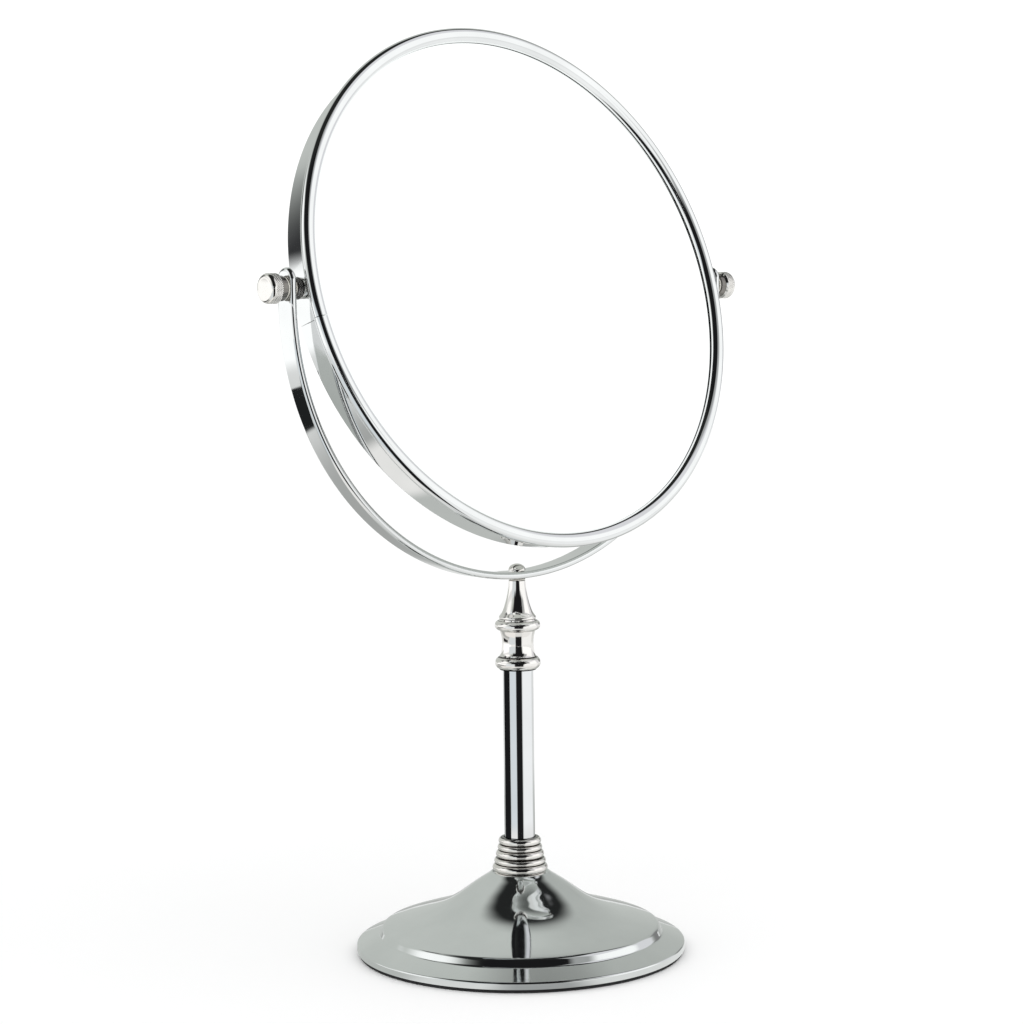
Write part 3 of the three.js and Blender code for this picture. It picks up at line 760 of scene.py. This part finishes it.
class Cloth:
    """A glowing cloth whose tones are laid on in panels, by the way round and by height or reach."""

    def __init__(self, name, tone):
        self.material = bpy.data.materials.new(name)
        self.material.use_nodes = True
        self.nodes = self.material.node_tree.nodes
        self.links = self.material.node_tree.links
        self.nodes.clear()
        place = self.nodes.new("ShaderNodeTexCoord")
        self.axes = self.nodes.new("ShaderNodeSeparateXYZ")
        self.links.new(place.outputs["Object"], self.axes.inputs[0])
        self.place = place.outputs["Object"]
        self.round = self.sum("MULTIPLY", self.sum("ARCTAN2", self.axes.outputs["Y"],
                                                   self.axes.outputs["X"]), 180 / math.pi)
        self.tone = self.nodes.new("ShaderNodeRGB").outputs[0]
        self.tone.default_value = (*tone, 1)

    def sum(self, kind, *values):
        """One step of reckoning, on numbers or on other steps."""
        node = self.nodes.new("ShaderNodeMath")
        node.operation = kind
        for i, value in enumerate(values):
            if isinstance(value, (int, float)):
                node.inputs[i].default_value = value
            else:
                self.links.new(value, node.inputs[i])
        return node.outputs[0]

    def near(self, value, reach, soft):
        """1 where the value is under reach, fading to 0 over soft on either side of it."""
        fade = self.nodes.new("ShaderNodeMapRange")
        fade.interpolation_type = "SMOOTHSTEP"
        self.links.new(value, fade.inputs["Value"])
        fade.inputs["From Min"].default_value = reach - soft
        fade.inputs["From Max"].default_value = reach + soft
        fade.inputs["To Min"].default_value = 1
        fade.inputs["To Max"].default_value = 0
        return fade.outputs["Result"]

    def lay(self, tone, mask):
        """Lays a tone over what is there, where the mask says."""
        mix = self.nodes.new("ShaderNodeMix")
        mix.data_type = "RGBA"
        self.links.new(mask, mix.inputs["Factor"])
        self.links.new(self.tone, mix.inputs["A"])
        mix.inputs["B"].default_value = (*tone, 1)
        self.tone = mix.outputs["Result"]

    def panel(self, tone, start, end, low, high, soft=(3, 3)):
        """A panel from one bearing to another, in degrees, between two heights or reaches."""
        middle, half = (start + end) / 2, (end - start) / 2
        turn = self.sum("WRAP", self.sum("SUBTRACT", self.round, middle), 180, -180)
        across = self.near(self.sum("ABSOLUTE", turn), half, soft[0])
        up = self.near(self.sum("ABSOLUTE", self.sum("SUBTRACT", self.level, (low + high) / 2)),
                       (high - low) / 2, soft[1])
        self.lay(tone, self.sum("MULTIPLY", across, up))

    def done(self, screen, solid=None):
        """Hangs the cloth; where solid is under 1 it is see-through."""
        glow = self.nodes.new("ShaderNodeEmission")
        out = self.nodes.new("ShaderNodeOutputMaterial")
        self.links.new(self.tone, glow.inputs["Color"])
        surface = glow.outputs[0]
        if solid is not None:
            clear = self.nodes.new("ShaderNodeBsdfTransparent")
            blend = self.nodes.new("ShaderNodeMixShader")
            self.links.new(solid, blend.inputs[0])
            self.links.new(clear.outputs[0], blend.inputs[1])
            self.links.new(surface, blend.inputs[2])
            surface = blend.outputs[0]
        self.links.new(surface, out.inputs["Surface"])
        screen.data.materials.append(self.material)
        seen_by_metal_only(screen)


grey_cloth = (0.590, 0.615, 0.590)
white_panel = (1.16, 1.17, 1.17)
blue_white = (0.76, 0.81, 0.84)
black_panel = (0.012, 0.012, 0.013)

# The tent. Its tones lie by bearing and by height over the horizon, both in degrees.
tent_shape = bmesh.new()
bmesh.ops.create_uvsphere(tent_shape, u_segments=64, v_segments=32, radius=30)
tent = placed("tent", tent_shape)
cloth = Cloth("tent_cloth", grey_cloth)
straight = cloth.nodes.new("ShaderNodeVectorMath")
straight.operation = "NORMALIZE"
cloth.links.new(cloth.place, straight.inputs[0])
cloth.links.new(straight.outputs[0], cloth.axes.inputs[0])
cloth.level = cloth.sum("MULTIPLY", cloth.sum("ARCSINE", cloth.axes.outputs["Z"]), 180 / math.pi)
overhead = cloth.nodes.new("ShaderNodeVectorMath")
overhead.operation = "DOT_PRODUCT"
cloth.links.new(straight.outputs[0], overhead.inputs[0])


def toward(bearing, lean):
    """The direction at a bearing and a height, in degrees."""
    bearing, lean = math.radians(bearing), math.radians(lean)
    return Vector((math.cos(lean) * math.cos(bearing), math.cos(lean) * math.sin(bearing),
                   math.sin(lean)))


dark_overhead, dark_reach, dark_fade = toward(-100, 62), 57, 9
overhead.inputs[1].default_value = dark_overhead
off_axis = cloth.sum("MULTIPLY", cloth.sum("ARCCOSINE", overhead.outputs["Value"]), 180 / math.pi)
cloth.panel((0.50, 0.52, 0.50), 0, 36, -10, 60, (10, 8))
cloth.panel((0.86, 0.87, 0.87), 112, 182, -30, 14, (5, 3))
cloth.panel((1.22, 1.23, 1.23), 112, 178, -30, 7, (4, 2))
cloth.lay((0.020, 0.021, 0.021), cloth.near(off_axis, dark_reach, dark_fade))
cloth.panel(white_panel, -98, -12, -30, 58, (3, 5))
cloth.panel(blue_white, 165, 212, -30, 14, (3, 3))
cloth.panel(white_panel, 128, 170, 14, 42, (12, 4))
cloth.panel((0.82, 0.82, 0.85), -72, -10, 34, 60, (5, 4))
cloth.panel((0.80, 0.80, 0.83), -21, 3, -8, 30, (4, 5))
cloth.panel((0.24, 0.24, 0.24), 5, 22, -8, 17, (5, 5))
cloth.panel((0.42, 0.43, 0.43), -90, -66, 14, 60, (6, 4))
cloth.panel(black_panel, -147, -103, -60, 60, (3, 6))
cloth.panel(black_panel, -166, -86, 12, 62, (4, 4))
cloth.done(tent)

# A painted reflection of the table, on a glowing disc just under it that only the metal sees. Its
# tones lie by bearing and by distance from the stem, in mm: greyer behind the stem, grey near the stem
# on the camera's side, with white and black patches farther out.
table_reflection_disc = flat_disc("painted_table_reflection", 12, -0.0005)
cloth = Cloth("painted_table_reflection_tones", (0.95, 0.96, 0.96))
reach = cloth.nodes.new("ShaderNodeVectorMath")
reach.operation = "LENGTH"
cloth.links.new(cloth.place, reach.inputs[0])
cloth.level = cloth.sum("MULTIPLY", reach.outputs["Value"], 1000)
cloth.panel((0.78, 0.79, 0.78), -180, 180, 0, 900, (1, 300))
cloth.panel((0.43, 0.44, 0.43), 0, 180, 0, 350, (14, 90))
cloth.panel((0.56, 0.58, 0.56), 0, 180, 0, 175, (14, 45))
cloth.panel((1.22, 1.23, 1.23), 104, 180, 900, 12000, (3, 120))
cloth.panel((0.94, 0.93, 0.91), 124, 212, 120, 245, (4, 20))
cloth.panel((0.92, 0.92, 0.91), -98, -12, 130, 250, (3, 20))
cloth.panel((1.02, 1.03, 1.03), -98, -12, 240, 1500, (3, 20))
cloth.panel(blue_white, 165, 212, 240, 1200, (3, 20))
cloth.panel(black_panel, -147, -103, 195, 9000, (3, 16))
cloth.panel((0.40, 0.41, 0.41), -140, -106, 0, 110, (8, 40))
cloth.panel((0.016, 0.017, 0.018), 106, 152, 420, 655, (3, 10))
cloth.done(table_reflection_disc)

# A dark card stands behind the head on the left. It thins out to nothing at one end and along both
# long sides, so that the band shows no edge of it.
card_shape = bmesh.new()
bmesh.ops.create_grid(card_shape, x_segments=1, y_segments=1, size=1)
bmesh.ops.scale(card_shape, verts=card_shape.verts, vec=(0.120, 0.080, 1))
card = placed("dark_card", card_shape)
band_spot = Vector((-0.100, 0.004, 0.285))
card_away, card_aside = 0.30, -0.046
outward = toward(109, 17)
aim = outward.to_track_quat("Z", "Y")
card.location = band_spot + outward * card_away + aim @ Vector((card_aside, 0, 0))
card.rotation_euler = aim.to_euler()
cloth = Cloth("card_cloth", (0.040, 0.041, 0.043))
thicker = cloth.sum("SUBTRACT", 1, cloth.near(cloth.axes.outputs["X"], 0.010, 0.090))
sides = cloth.near(cloth.sum("ABSOLUTE", cloth.axes.outputs["Y"]), 0.060, 0.018)
cloth.done(card, solid=cloth.sum("MULTIPLY", thicker, sides))

# A one-sided black flag is curved close round the left of the tube: the tube sees it, and from
# outside it is clear.
flag_shape = bmesh.new()
flag_radius, flag_low, flag_high = 0.0078, 0.0452, 0.1124
flag_start, flag_sweep = 140, 47
flag_rows = []
for step in range(13):
    turn = math.radians(flag_start + flag_sweep * step / 12)
    flag_rows.append([
        flag_shape.verts.new((flag_radius * math.cos(turn), flag_radius * math.sin(turn), z))
        for z in (flag_low, flag_high)])
for here, there in zip(flag_rows, flag_rows[1:]):
    flag_shape.faces.new((here[0], there[0], there[1], here[1]))
flag = placed("black_flag", flag_shape)
cloth = Cloth("flag_cloth", black_panel)
which_side = cloth.nodes.new("ShaderNodeNewGeometry")
cloth.done(flag, solid=which_side.outputs["Backfacing"])

# A one-sided white card hangs just before the plane glass and goes with the head, so the glass is
# clean white from every side. From outside the card is clear.
white_shape = bmesh.new()
white_radius, white_plane = 98.1, 7.3
white_shape.faces.new([
    white_shape.verts.new(facing_front(white_radius, white_plane, 2 * math.pi * step / 96) / 1000)
    for step in range(96)])
white_card = placed("white_card", white_shape)
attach(white_card, "head")
cloth = Cloth("white_card_cloth", white_panel)
which_side = cloth.nodes.new("ShaderNodeNewGeometry")
cloth.done(white_card, solid=which_side.outputs["Backfacing"])

# The even white light that falls on the table and the part.
world = bpy.data.worlds.new("studio")
world.use_nodes = True
daylight = world.node_tree.nodes["Background"]
daylight.inputs["Color"].default_value = (1, 1, 1, 1)
daylight.inputs["Strength"].default_value = 1.13
bpy.context.scene.world = world
bpy.context.scene.view_settings.view_transform = "Standard"


# Camera: in front and to the left, level with the pivots and looking slightly down.
away, height = 0.98476, 0.2583
round_left = math.radians(41.027)
look_aside, look_down, roll = 0.098, 4.865, -0.631
camera_data = bpy.data.cameras.new("camera")
camera_data.lens = 88.67
camera_data.sensor_width = 36
camera_data.clip_start = 0.05
camera = bpy.data.objects.new("camera", camera_data)
bpy.context.collection.objects.link(camera)
aim = (Matrix.Rotation(math.radians(look_aside) - round_left, 4, "Z")
       @ Matrix.Rotation(math.radians(90 - look_down), 4, "X")
       @ Matrix.Rotation(math.radians(roll), 4, "Z"))
spot = Vector((-away * math.sin(round_left), -away * math.cos(round_left), height))
camera.matrix_world = Matrix.Translation(spot) @ aim
bpy.context.scene.camera = camera
